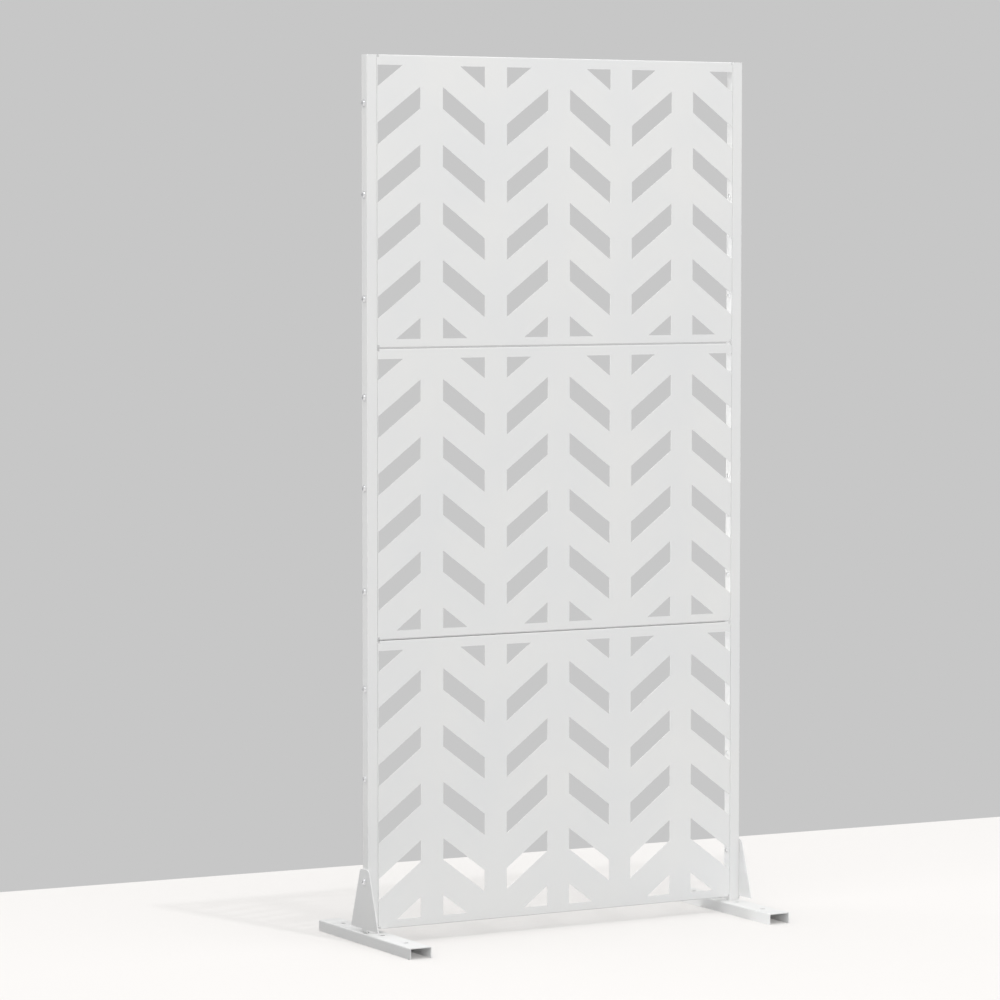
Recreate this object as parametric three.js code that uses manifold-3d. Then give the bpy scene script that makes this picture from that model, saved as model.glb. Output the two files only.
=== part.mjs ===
// Free-standing garden privacy screen of folded sheet steel.
// Three pierced panels stand one above another between two square tube posts, and each post is bolted
// to an angle bracket on an inverted channel foot. Millimetres, +Z up, front towards -Y, the origin on
// the ground below the middle of the screen.

import * as THREE from 'three';
import { mergeVertices } from 'three/addons/utils/BufferGeometryUtils.js';
import Module from 'manifold-3d';

const wasm = await Module();
wasm.setup();

// ---------------------------------------------------------------------------------------------
// Driving dimensions
// ---------------------------------------------------------------------------------------------

const SCREEN_WIDTH = 924; // over the outer faces of the two posts
const FIT = 0.3; // clearance all round a piece that fits inside or beside another

const POST_SIZE = 24; // square tube, over its outer faces
const POST_WALL = 1.2;
const POST_CORNER = 1.5; // outside radius of the tube's corners

const PANEL_NAMES = ['bottom', 'middle', 'top']; // from the ground up
const PANEL_HEIGHT = 608;
const PANEL_GAP = 3; // open joint between stacked panels
const PANEL_RAISE = 9; // lowest panel's lower edge above the top of the feet
const PANEL_DEPTH = 19; // front face to the back of the folded edges; the front is flush with the posts
const PANEL_SHEET = 1.2;
const PANEL_BEND = 1.5; // outside radius of the folds
const PANEL_NOTCH = 5; // square cut from each corner, so that the folded edges clear each other

const SLOT_COLUMNS = 6; // neighbouring columns slope against each other and make chevrons
const SLOT_EDGE = 1.5; // from the panel's side edge to the nearest slots
const SLOT_BAR = 53.8; // upright bar between two columns
const SLOT_PITCH = 120.5; // height from one slot to the next
const SLOT_OPENING = 45.5; // height of a slot, measured upright
const SLOT_ANGLE = 36.9; // slope of the slots, degrees
const SLOT_START = 60.5; // lowest whole slot's low corner above the panel's lower edge
const SLOT_TOP_BORDER = 21; // plain strip along the panel's upper edge
const SLOT_BOTTOM_BORDER = 17.3; // plain strip along the panel's lower edge
const SLOT_LEAST = 5; // a slot cut shorter than this by a border is left out

const SCREW_END = 101; // outer side screws to the panel's upper and lower edge
const SCREW_MIDDLE_RAISE = 13.5; // middle side screw above the panel's half height
const SIDE_SCREW = { thread: 8, head: 16, headHeight: 4.8, socket: 5 }; // socket across its flats
const SIDE_SCREW_LENGTH = 25; // from the post's outer face to the screw's end

const RIVET_FLANGE = 12.5; // rim of a rivet nut, on the inner face of the panel's folded edge
const RIVET_FLANGE_HEIGHT = 0.8;
const RIVET_BODY = 11; // through the folded edge and the post's inner wall
const RIVET_LENGTH = 15; // below the rim

const FOOT_LENGTH = 412;
const FOOT_WIDTH = 51;
const FOOT_HEIGHT = 24;
const FOOT_SHEET = 2.5;
const FOOT_BEND = 3; // outside radius of the folds
const FOOT_OVERHANG = 4.5; // foot past the post's outer face
const ANCHOR_HOLE = 12;
const ANCHOR_END = 65; // centre of an outer anchor hole to the end of the foot
const ANCHOR_INNER = 36; // centre of an inner anchor hole to the middle of the foot's length

const BRACKET_SHEET = 2.5;
const BRACKET_BEND = 5; // outside radius of the fold between plate and tab
const BRACKET_RISE = 9.5; // plate's lower edge above the foot
const BRACKET_BASE = 122; // width of the plate at its lower edge
const BRACKET_TOP = 38; // width of the plate at its upper edge
const BRACKET_CORNER = 11; // radius of the plate's upper corners
const BRACKET_MARGIN = 26; // plate above the bolt's centre
const TAB_WIDTH = 22; // tab folded in below the post's end
const TAB_BOLT = { thread: 8, head: 16, headHeight: 4.8, socket: 5 }; // socket across its flats
const TAB_BOLT_GRIP = 8.5; // thread past the metal that it clamps
const TAB_NUT_FLATS = 13;
const TAB_NUT_HEIGHT = 6.5;

const ROUND_SIDES = 12; // sides of round fasteners and of the holes they pass
const CUT_PAST = 2; // how far a cutting shape runs past the metal that it cuts
const BEND_STEPS = 4; // straight steps in a quarter turn of folded sheet

// ---------------------------------------------------------------------------------------------
// Places worked out from the driving dimensions
// ---------------------------------------------------------------------------------------------

const postOuter = SCREEN_WIDTH / 2; // distance of a post's outer face from the middle
const tabTop = FOOT_HEIGHT + BRACKET_SHEET;
const bracketBase = FOOT_HEIGHT + BRACKET_RISE;
const panelsBottom = FOOT_HEIGHT + PANEL_RAISE;
const panelPitch = PANEL_HEIGHT + PANEL_GAP;
const postTop = panelsBottom + PANEL_NAMES.length * panelPitch - PANEL_GAP;
const panelWidth = SCREEN_WIDTH - 2 * (POST_SIZE + FIT);
const screwHole = SIDE_SCREW.thread + 2 * FIT;
const rivetHole = RIVET_BODY + 2 * FIT;
const tabHole = TAB_BOLT.thread + 2 * FIT;
const screwHeights = {
  low: SCREW_END,
  mid: PANEL_HEIGHT / 2 + SCREW_MIDDLE_RAISE,
  high: PANEL_HEIGHT - SCREW_END,
};
const bracketBoltHeight = panelsBottom + screwHeights.low;

const SIDES = { left: -1, right: 1 };

// ---------------------------------------------------------------------------------------------
// Materials
// ---------------------------------------------------------------------------------------------

const powderCoat = new THREE.MeshStandardMaterial({ color: 0xeeeeec, roughness: 0.5, metalness: 0 });
const zincSteel = new THREE.MeshStandardMaterial({ color: 0xc9cbcc, roughness: 0.3, metalness: 0.9 });

// ---------------------------------------------------------------------------------------------
// Solids: joining, cutting and mirroring
// ---------------------------------------------------------------------------------------------

/** Turns a closed geometry into a solid that can be joined and cut. */
function toSolid(geometry) {
  const bare = geometry.clone();
  bare.deleteAttribute('normal');
  bare.deleteAttribute('uv');
  const merged = mergeVertices(bare, 1e-4);
  return new wasm.Manifold(new wasm.Mesh({
    numProp: 3,
    vertProperties: new Float32Array(merged.attributes.position.array),
    triVerts: new Uint32Array(merged.index.array),
  }));
}

/** Turns a solid back into a geometry. */
function toGeometry(solid) {
  const mesh = solid.getMesh();
  const geometry = new THREE.BufferGeometry();
  geometry.setAttribute('position', new THREE.BufferAttribute(mesh.vertProperties, 3));
  geometry.setIndex(new THREE.BufferAttribute(mesh.triVerts, 1));
  geometry.computeVertexNormals();
  return geometry;
}

/** Joins one geometry with others. */
function join(first, ...others) {
  return toGeometry(others.reduce((solid, other) => solid.add(toSolid(other)), toSolid(first)));
}

/** Cuts others out of a geometry. */
function cut(first, ...others) {
  return toGeometry(others.reduce((solid, other) => solid.subtract(toSolid(other)), toSolid(first)));
}

/** The mirror image in the plane x = 0, with its faces still pointing out. */
function mirrored(geometry) {
  const image = geometry.index ? geometry.clone() : mergeVertices(geometry);
  image.scale(-1, 1, 1);
  const corners = image.index.array;
  for (let i = 0; i < corners.length; i += 3) {
    [corners[i], corners[i + 1]] = [corners[i + 1], corners[i]];
  }
  return image;
}

/** A named mesh: the geometry is drawn for the left side, and side 1 mirrors it to the right. */
function place(name, geometry, material, side, x, y, z) {
  const mesh = new THREE.Mesh(side > 0 ? mirrored(geometry) : geometry, material);
  mesh.name = name;
  mesh.position.set(side > 0 ? -x : x, y, z);
  return mesh;
}

// ---------------------------------------------------------------------------------------------
// Outlines
// ---------------------------------------------------------------------------------------------

/** Quarter arc of points about (x, y), from one angle to another, in quarter turns. */
function quarterArc(x, y, radius, from, to) {
  const points = [];
  for (let step = 0; step <= BEND_STEPS; step += 1) {
    const angle = (from + ((to - from) * step) / BEND_STEPS) * (Math.PI / 2);
    points.push(new THREE.Vector2(x + radius * Math.cos(angle), y + radius * Math.sin(angle)));
  }
  return points;
}

/**
 * Section of a folded channel: the web lies along x = 0 from y = 0 to y = web, and the two flanges
 * reach to x = flange.
 */
function channelShape(flange, web, sheet, bend) {
  const inside = bend - sheet;
  return new THREE.Shape([
    new THREE.Vector2(flange, 0),
    new THREE.Vector2(flange, sheet),
    ...quarterArc(bend, bend, inside, 3, 2),
    ...quarterArc(bend, web - bend, inside, 2, 1),
    new THREE.Vector2(flange, web - sheet),
    new THREE.Vector2(flange, web),
    ...quarterArc(bend, web - bend, bend, 1, 2),
    ...quarterArc(bend, bend, bend, 2, 3),
  ]);
}

/** Outline of a square with rounded corners, from one corner (from, from) to the other (to, to). */
function roundedSquare(from, to, radius) {
  return [
    ...quarterArc(from + radius, from + radius, radius, 2, 3),
    ...quarterArc(to - radius, from + radius, radius, 3, 4),
    ...quarterArc(to - radius, to - radius, radius, 0, 1),
    ...quarterArc(from + radius, to - radius, radius, 1, 2),
  ];
}

/** Section of a square tube with one corner at the origin. */
function tubeShape(size, wall, corner) {
  const shape = new THREE.Shape(roundedSquare(0, size, corner));
  shape.holes.push(new THREE.Path(roundedSquare(wall, size - wall, corner - wall)));
  return shape;
}

/** Extrudes a flat shape by a length, without bevels. */
function extrude(shape, length) {
  return new THREE.ExtrudeGeometry(shape, { depth: length, bevelEnabled: false, steps: 1 });
}

/** The shape of a round hole along x through metal that lies between two planes. */
function holeAlongX(diameter, from, to) {
  const length = to - from + 2 * CUT_PAST;
  return new THREE.CylinderGeometry(diameter / 2, diameter / 2, length, ROUND_SIDES)
    .rotateZ(Math.PI / 2)
    .translate((from + to) / 2, 0, 0);
}

/** The shape of a round hole along z through metal that lies between two levels. */
function holeAlongZ(diameter, from, to) {
  const length = to - from + 2 * CUT_PAST;
  return new THREE.CylinderGeometry(diameter / 2, diameter / 2, length, ROUND_SIDES)
    .rotateX(Math.PI / 2)
    .translate(0, 0, (from + to) / 2);
}

/** Keeps the part of a convex outline, a list of [x, z], that lies above or below a level. */
function clipAtLevel(outline, level, keepBelow) {
  const inside = ([, z]) => (keepBelow ? z <= level : z >= level);
  const kept = [];
  outline.forEach((corner, index) => {
    const next = outline[(index + 1) % outline.length];
    if (inside(corner)) {
      kept.push(corner);
    }
    if (inside(corner) !== inside(next)) {
      const share = (level - corner[1]) / (next[1] - corner[1]);
      kept.push([corner[0] + share * (next[0] - corner[0]), level]);
    }
  });
  return kept;
}

// ---------------------------------------------------------------------------------------------
// Panels
// ---------------------------------------------------------------------------------------------

/** Outlines of all the slots of one panel, with x from the screen's middle and z from its lower edge. */
function slotOutlines() {
  const reach = panelWidth / 2 - SLOT_EDGE;
  const slotWidth = (2 * reach - (SLOT_COLUMNS - 1) * SLOT_BAR) / SLOT_COLUMNS;
  const rise = slotWidth * Math.tan(THREE.MathUtils.degToRad(SLOT_ANGLE));
  const topLevel = PANEL_HEIGHT - SLOT_TOP_BORDER;
  const outlines = [];
  for (let column = 0; column < SLOT_COLUMNS; column += 1) {
    const leftEdge = -reach + column * (slotWidth + SLOT_BAR);
    const risesRight = column % 2 === 0;
    const lowEnd = risesRight ? leftEdge : leftEdge + slotWidth;
    const highEnd = risesRight ? leftEdge + slotWidth : leftEdge;
    for (let low = SLOT_START - SLOT_PITCH; low < topLevel; low += SLOT_PITCH) {
      const whole = [
        [lowEnd, low],
        [highEnd, low + rise],
        [highEnd, low + rise + SLOT_OPENING],
        [lowEnd, low + SLOT_OPENING],
      ];
      const slot = clipAtLevel(clipAtLevel(whole, topLevel, true), SLOT_BOTTOM_BORDER, false);
      const heights = slot.map(([, z]) => z);
      if (Math.max(...heights) - Math.min(...heights) > SLOT_LEAST) {
        outlines.push(slot);
      }
    }
  }
  return outlines;
}

/** The slots as one set of prisms through the panel's front sheet. */
function slotCutter() {
  const shapes = slotOutlines().map((slot) =>
    new THREE.Shape(slot.map(([x, z]) => new THREE.Vector2(x, z))));
  return extrude(shapes, PANEL_SHEET + 2 * CUT_PAST)
    .rotateX(Math.PI / 2)
    .translate(0, PANEL_SHEET + CUT_PAST, 0);
}

/**
 * One panel: a shallow tray, open at the back. Its front face lies in y = 0, x is measured from the
 * middle and z from the lower edge.
 */
function panelGeometry() {
  const upright = channelShape(PANEL_DEPTH, PANEL_HEIGHT, PANEL_SHEET, PANEL_BEND);
  const foldedTopAndBottom = extrude(upright, panelWidth - 2 * PANEL_NOTCH)
    .rotateX(Math.PI / 2)
    .rotateZ(Math.PI / 2)
    .translate(PANEL_NOTCH - panelWidth / 2, 0, 0);
  const level = channelShape(PANEL_DEPTH, panelWidth, PANEL_SHEET, PANEL_BEND);
  const foldedSides = extrude(level, PANEL_HEIGHT - 2 * PANEL_NOTCH)
    .rotateZ(Math.PI / 2)
    .translate(panelWidth / 2, 0, PANEL_NOTCH);
  const nutHoles = Object.values(screwHeights).map((height) =>
    holeAlongX(rivetHole, -panelWidth / 2, panelWidth / 2).translate(0, POST_SIZE / 2, height));
  return cut(join(foldedTopAndBottom, foldedSides), slotCutter(), ...nutHoles);
}

// ---------------------------------------------------------------------------------------------
// Posts, feet and brackets, all drawn for the left side
// ---------------------------------------------------------------------------------------------

/** Square tube: outer face in x = 0, middle of its depth in y = 0, lower end at z = 0. */
function postGeometry() {
  const section = tubeShape(POST_SIZE, POST_WALL, POST_CORNER);
  const tube = extrude(section, postTop - tabTop).translate(0, -POST_SIZE / 2, 0);
  const holes = PANEL_NAMES.flatMap((_, level) => Object.values(screwHeights).flatMap((height) => {
    const z = panelsBottom + level * panelPitch + height - tabTop;
    return [
      holeAlongX(screwHole, 0, POST_WALL).translate(0, 0, z),
      holeAlongX(rivetHole, POST_SIZE - POST_WALL, POST_SIZE).translate(0, 0, z),
    ];
  }));
  const reliefWidth = BRACKET_BEND - BRACKET_SHEET + FIT;
  const reliefHeight = FOOT_HEIGHT + BRACKET_BEND + FIT - tabTop;
  const relief = new THREE.BoxGeometry(2 * reliefWidth, POST_SIZE + 2 * CUT_PAST, 2 * reliefHeight);
  return cut(tube, relief, ...holes);
}

/** Inverted channel: outer side in x = 0, middle of its length in y = 0, ground at z = 0. */
function footGeometry() {
  const channel = extrude(channelShape(FOOT_HEIGHT, FOOT_WIDTH, FOOT_SHEET, FOOT_BEND), FOOT_LENGTH)
    .rotateZ(Math.PI / 2)
    .rotateX(-Math.PI / 2)
    .translate(FOOT_WIDTH, -FOOT_LENGTH / 2, FOOT_HEIGHT);
  const anchorOuter = FOOT_LENGTH / 2 - ANCHOR_END;
  const underside = FOOT_HEIGHT - FOOT_SHEET;
  const anchors = [-anchorOuter, -ANCHOR_INNER, ANCHOR_INNER, anchorOuter].map((y) =>
    holeAlongZ(ANCHOR_HOLE, underside, FOOT_HEIGHT).translate(FOOT_WIDTH / 2, y, 0));
  const boltHole = holeAlongZ(tabHole, underside, FOOT_HEIGHT)
    .translate(FOOT_OVERHANG + POST_SIZE / 2, 0, 0);
  return cut(channel, ...anchors, boltHole);
}

/** Outline of the bracket's plate, with x along the screen's depth and y as height above its base. */
function bracketPlateShape() {
  const height = bracketBoltHeight + BRACKET_MARGIN - bracketBase;
  const lean = Math.atan2((BRACKET_BASE - BRACKET_TOP) / 2, height);
  const cornerX = BRACKET_TOP / 2 - BRACKET_CORNER * Math.tan(Math.PI / 4 - lean / 2);
  const cornerY = height - BRACKET_CORNER;
  const shape = new THREE.Shape();
  shape.moveTo(-BRACKET_BASE / 2, 0);
  shape.lineTo(BRACKET_BASE / 2, 0);
  shape.absarc(cornerX, cornerY, BRACKET_CORNER, lean, Math.PI / 2, false);
  shape.absarc(-cornerX, cornerY, BRACKET_CORNER, Math.PI / 2, Math.PI - lean, false);
  return shape;
}

/** Section of the neck below the plate and of the tab, as long as the post is wide; x inwards, y up. */
function bracketTabShape() {
  const inside = BRACKET_BEND - BRACKET_SHEET; // inside radius, and the fold's centre from x = 0
  const neckTop = BRACKET_RISE + BRACKET_SHEET;
  return new THREE.Shape([
    new THREE.Vector2(POST_SIZE, 0),
    new THREE.Vector2(POST_SIZE, BRACKET_SHEET),
    ...quarterArc(inside, BRACKET_BEND, inside, 3, 2),
    new THREE.Vector2(0, neckTop),
    new THREE.Vector2(-BRACKET_SHEET, neckTop),
    ...quarterArc(inside, BRACKET_BEND, BRACKET_BEND, 2, 3),
  ]);
}

/** Angle bracket: the plate's inner face in x = 0, middle in y = 0, underside of the tab at z = 0. */
function bracketGeometry() {
  const plate = new THREE.ExtrudeGeometry(bracketPlateShape(), {
    depth: BRACKET_SHEET,
    bevelEnabled: false,
    curveSegments: 2 * BEND_STEPS,
  });
  plate.rotateX(Math.PI / 2).rotateZ(Math.PI / 2).translate(-BRACKET_SHEET, 0, BRACKET_RISE);
  const tab = extrude(bracketTabShape(), TAB_WIDTH).rotateX(Math.PI / 2).translate(0, TAB_WIDTH / 2, 0);
  const boltHole = holeAlongX(screwHole, -BRACKET_SHEET, 0)
    .translate(0, 0, bracketBoltHeight - FOOT_HEIGHT);
  const tabBoltHole = holeAlongZ(tabHole, 0, BRACKET_SHEET).translate(POST_SIZE / 2, 0, 0);
  return cut(join(plate, tab), boltHole, tabBoltHole);
}

// ---------------------------------------------------------------------------------------------
// Fasteners
// ---------------------------------------------------------------------------------------------

/** A turned solid about the z axis, from a profile of [radius, z] that starts and ends on the axis. */
function turned(profile) {
  return new THREE.LatheGeometry(profile.map(([r, z]) => new THREE.Vector2(r, z)), ROUND_SIDES)
    .rotateX(Math.PI / 2);
}

/** A regular hexagonal bar along z, centred on z = 0, from its width across the flats. */
function hexBar(flats, length) {
  const radius = flats / Math.sqrt(3);
  return new THREE.CylinderGeometry(radius, radius, length, 6).rotateX(Math.PI / 2);
}

/**
 * Flanged button-head screw: underside of the head at z = 0, thread pointing down. The head is a thin
 * flange with a dome on it, and the socket reaches half way into the head.
 */
function buttonScrew({ thread, head, headHeight, socket }, length) {
  const chamfer = thread / 8;
  const flangeHeight = headHeight / 4;
  const domeHeight = headHeight - flangeHeight;
  const domeRadius = (head / 2) * 0.8;
  const crownRadius = (head / 2) * 0.5;
  const body = turned([
    [0, -length],
    [thread / 2 - chamfer, -length],
    [thread / 2, chamfer - length],
    [thread / 2, 0],
    [head / 2, 0],
    [head / 2, flangeHeight],
    [domeRadius, flangeHeight],
    [(domeRadius + crownRadius) / 2, flangeHeight + domeHeight * 0.75],
    [crownRadius, headHeight],
    [0, headHeight],
  ]);
  return cut(body, hexBar(socket, headHeight).translate(0, 0, headHeight));
}

/** Rivet nut: underside of the rim at z = 0, body below it. */
function rivetNut() {
  const bore = screwHole / 2;
  return turned([
    [bore, -RIVET_LENGTH],
    [RIVET_BODY / 2, -RIVET_LENGTH],
    [RIVET_BODY / 2, 0],
    [RIVET_FLANGE / 2, 0],
    [RIVET_FLANGE / 2, RIVET_FLANGE_HEIGHT],
    [bore, RIVET_FLANGE_HEIGHT],
    [bore, -RIVET_LENGTH],
  ]);
}

/** Hexagonal nut: bearing face at z = 0, body above it. */
function hexNut() {
  return cut(
    hexBar(TAB_NUT_FLATS, TAB_NUT_HEIGHT).translate(0, 0, TAB_NUT_HEIGHT / 2),
    holeAlongZ(tabHole, 0, TAB_NUT_HEIGHT),
  );
}

// ---------------------------------------------------------------------------------------------
// Assembly
// ---------------------------------------------------------------------------------------------

/** The three panels. */
function buildPanels() {
  const geometry = panelGeometry();
  return PANEL_NAMES.map((name, level) => {
    const mesh = new THREE.Mesh(geometry, powderCoat);
    mesh.name = `panel_${name}`;
    mesh.position.set(0, -POST_SIZE / 2, panelsBottom + level * panelPitch);
    return mesh;
  });
}

/** Side screws and their nuts on one side; the lowest screw clamps the bracket too. */
function buildSideFasteners(sideName, side) {
  const sideScrew = buttonScrew(SIDE_SCREW, SIDE_SCREW_LENGTH).rotateY(-Math.PI / 2);
  const bracketBolt = buttonScrew(SIDE_SCREW, SIDE_SCREW_LENGTH + BRACKET_SHEET).rotateY(-Math.PI / 2);
  const nut = rivetNut().rotateY(Math.PI / 2);
  const nutPlace = -panelWidth / 2 + PANEL_SHEET;
  return PANEL_NAMES.flatMap((panel, level) => Object.entries(screwHeights).flatMap(([row, height]) => {
    const z = panelsBottom + level * panelPitch + height;
    const holdsBracket = level === 0 && row === 'low';
    const spot = `${sideName}_${panel}_${row}`;
    const screw = holdsBracket
      ? place(`bracket_bolt_${sideName}`, bracketBolt, zincSteel, side, -postOuter - BRACKET_SHEET, 0, z)
      : place(`side_screw_${spot}`, sideScrew, zincSteel, side, -postOuter, 0, z);
    return [screw, place(`rivet_nut_${spot}`, nut, powderCoat, side, nutPlace, 0, z)];
  }));
}

/** The bolt that holds one bracket's tab to its foot, head down in the foot, and its nut in the post. */
function buildTabFasteners(sideName, side) {
  const bolt = buttonScrew(TAB_BOLT, FOOT_SHEET + BRACKET_SHEET + TAB_BOLT_GRIP).rotateX(Math.PI);
  const x = -postOuter + POST_SIZE / 2;
  return [
    place(`tab_bolt_${sideName}`, bolt, zincSteel, side, x, 0, FOOT_HEIGHT - FOOT_SHEET),
    place(`tab_nut_${sideName}`, hexNut(), zincSteel, side, x, 0, tabTop),
  ];
}

const screen = new THREE.Group();
screen.add(...buildPanels());
for (const [sideName, side] of Object.entries(SIDES)) {
  screen.add(
    place(`post_${sideName}`, postGeometry(), powderCoat, side, -postOuter, 0, tabTop),
    place(`foot_${sideName}`, footGeometry(), powderCoat, side, -postOuter - FOOT_OVERHANG, 0, 0),
    place(`bracket_${sideName}`, bracketGeometry(), powderCoat, side, -postOuter, 0, FOOT_HEIGHT),
    ...buildSideFasteners(sideName, side),
    ...buildTabFasteners(sideName, side),
  );
}

export default screen;
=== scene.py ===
"""Looks of a free-standing garden privacy screen of folded, powder-coated sheet steel.

Every piece of sheet is one single-layer net of flat faces and quarter-round folds, which is then
given its thickness and rounded edges. Every fastener is a stack of rings about its own axis. All
lengths are metres, +Z up, +X to the right and -Y to the front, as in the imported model.
"""

import logging
import math
from dataclasses import dataclass, field
from enum import Enum

import bpy
import numpy as np
from mathutils import Matrix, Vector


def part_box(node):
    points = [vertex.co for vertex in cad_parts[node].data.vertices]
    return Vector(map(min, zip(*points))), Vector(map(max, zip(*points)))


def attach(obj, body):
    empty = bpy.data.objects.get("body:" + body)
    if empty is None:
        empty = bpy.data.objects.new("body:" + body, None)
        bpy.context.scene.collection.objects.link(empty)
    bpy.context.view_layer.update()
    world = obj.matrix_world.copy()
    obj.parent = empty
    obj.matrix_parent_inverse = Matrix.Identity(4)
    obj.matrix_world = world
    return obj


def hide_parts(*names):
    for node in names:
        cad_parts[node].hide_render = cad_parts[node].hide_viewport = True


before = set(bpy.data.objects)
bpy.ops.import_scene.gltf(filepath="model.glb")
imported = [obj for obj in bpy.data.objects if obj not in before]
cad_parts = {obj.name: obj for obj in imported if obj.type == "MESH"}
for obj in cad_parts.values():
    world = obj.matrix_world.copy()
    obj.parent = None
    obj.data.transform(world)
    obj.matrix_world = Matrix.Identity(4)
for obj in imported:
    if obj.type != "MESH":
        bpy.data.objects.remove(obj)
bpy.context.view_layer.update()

MM = 0.001
LOG = logging.getLogger("privacy_screen")


class Side(Enum):
    """The two ends of the screen, with the sign of their x."""

    LEFT = -1
    RIGHT = 1

    @property
    def label(self) -> str:
        """The word for this side in node names."""
        return self.name.lower()


class Axis(Enum):
    """The direction in which a fastener's head points."""

    OUTWARD = "outward"
    UP = "up"
    DOWN = "down"


# ---------------------------------------------------------------------------------------------
# Finishes
# ---------------------------------------------------------------------------------------------


class NodeSheet:
    """A material's node tree, with short calls for the nodes that the finishes need."""

    def __init__(self, name: str, tree: bpy.types.NodeTree | None = None) -> None:
        """Starts an empty tree that reads Object coordinates.

        Args:
            name: the name of the material that is made where no tree is given.
            tree: a tree to fill in place of a new material's.
        """
        self.material = None
        if tree is None:
            self.material = bpy.data.materials.new(name)
            self.material.use_nodes = True
            tree = self.material.node_tree
        self.tree = tree
        self.tree.nodes.clear()
        self.place = self.tree.nodes.new("ShaderNodeTexCoord").outputs["Object"]

    def node(self, kind: str, inputs: dict | None = None, **settings: object) -> bpy.types.Node:
        """Adds a node.

        Args:
            kind: the node's Blender type.
            inputs: values or output sockets by input name or number.
            settings: the node's own settings.

        Returns:
            The new node.
        """
        made = self.tree.nodes.new(kind)
        for key, value in settings.items():
            setattr(made, key, value)
        for key, value in (inputs or {}).items():
            if isinstance(value, bpy.types.NodeSocket):
                self.tree.links.new(value, made.inputs[key])
            else:
                made.inputs[key].default_value = value
        return made

    def noise(self, size: float, detail: float = 3.0, rough: float = 0.5) -> bpy.types.NodeSocket:
        """Soft random pattern.

        Args:
            size: width of its spots in metres.
            detail: number of finer layers.
            rough: strength of the finer layers.

        Returns:
            A socket from 0 to 1.
        """
        inputs = {"Vector": self.place, "Scale": 1.0 / size, "Detail": detail, "Roughness": rough}
        return self.node("ShaderNodeTexNoise", inputs).outputs[0]

    def scaled(
        self, value: bpy.types.NodeSocket, source: tuple[float, float], target: tuple[float, float]
    ) -> bpy.types.NodeSocket:
        """Maps one range of numbers to another, clamped.

        Args:
            value: the number's socket.
            source: the range that counts.
            target: what its ends become.

        Returns:
            The mapped number's socket.
        """
        inputs = {0: value, 1: source[0], 2: source[1], 3: target[0], 4: target[1]}
        return self.node("ShaderNodeMapRange", inputs).outputs[0]

    def blended(
        self, share: bpy.types.NodeSocket, first: object, second: object
    ) -> bpy.types.NodeSocket:
        """Mixes two colours.

        Args:
            share: how much of the second colour, from 0 to 1.
            first: a colour or a socket.
            second: a colour or a socket.

        Returns:
            The mixed colour's socket.
        """
        mix = self.node("ShaderNodeMix", {0: share, 6: first, 7: second}, data_type="RGBA")
        return mix.outputs[2]

    def seen_rays(self) -> bpy.types.NodeSocket:
        """1 for rays from the camera and for those that metal or glass sends on, and 0 for others.

        Returns:
            The share's socket.
        """
        path = self.node("ShaderNodeLightPath").outputs
        mirrored = self.node(
            "ShaderNodeMath", {0: path["Is Glossy Ray"], 1: path["Is Transmission Ray"]},
            operation="MAXIMUM").outputs[0]
        return self.node(
            "ShaderNodeMath", {0: path["Is Camera Ray"], 1: mirrored},
            operation="MAXIMUM").outputs[0]

    def surface(self, inputs: dict) -> bpy.types.Material:
        """Ends the tree in one surface shader.

        Args:
            inputs: values or sockets of the shader, by name.

        Returns:
            The finished material.
        """
        shader = self.node("ShaderNodeBsdfPrincipled", inputs)
        self.node("ShaderNodeOutputMaterial", {"Surface": shader.outputs[0]})
        return self.material


@dataclass(frozen=True)
class PowderCoat:
    """White satin powder coat with the fine orange-peel texture that it cures to."""

    colour: tuple[float, float, float, float] = (0.86, 0.86, 0.85, 1.0)
    shade: tuple[float, float, float, float] = (0.835, 0.84, 0.84, 1.0)
    dust: tuple[float, float, float, float] = (0.74, 0.72, 0.68, 1.0)
    dust_height: float = 90 * MM
    dust_share: float = 0.16
    dust_spot: float = 9 * MM
    tone_size: float = 220 * MM
    roughness: tuple[float, float] = (0.38, 0.5)
    gloss_size: float = 35 * MM
    peel_size: float = 2.2 * MM
    grain_size: float = 0.5 * MM
    grain_share: float = 0.25
    relief: float = 0.06 * MM
    relief_strength: float = 0.6
    specular: float = 0.5

    def build(self) -> bpy.types.Material:
        """The coat's material: slow change of tone, a trace of dust near the ground, orange peel.

        Returns:
            The material.
        """
        sheet = NodeSheet("powder_coat")
        tone = sheet.scaled(sheet.noise(self.tone_size, 4.0), (0.35, 0.65), (0.0, 1.0))
        paint = sheet.blended(tone, self.colour, self.shade)
        height = sheet.node("ShaderNodeSeparateXYZ", {0: sheet.place}).outputs[2]
        low = sheet.scaled(height, (0.0, self.dust_height), (self.dust_share, 0.0))
        spots = sheet.scaled(sheet.noise(self.dust_spot, 8.0, 0.7), (0.45, 0.75), (0.15, 1.0))
        settled = sheet.node("ShaderNodeMath", {0: low, 1: spots}, operation="MULTIPLY").outputs[0]
        colour = sheet.blended(settled, paint, self.dust)
        rough = sheet.scaled(sheet.noise(self.gloss_size, 5.0, 0.6), (0.3, 0.7), self.roughness)
        peel = sheet.noise(self.peel_size, 2.0, 0.4)
        grain = sheet.noise(self.grain_size, 2.0)
        texture = sheet.node(
            "ShaderNodeMath", {0: grain, 1: self.grain_share, 2: peel}, operation="MULTIPLY_ADD")
        bump = sheet.node("ShaderNodeBump", {
            "Strength": self.relief_strength, "Distance": self.relief,
            "Height": texture.outputs[0]})
        return sheet.surface({
            "Base Color": colour, "Roughness": rough, "Normal": bump.outputs[0],
            "Specular IOR Level": self.specular})


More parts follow.
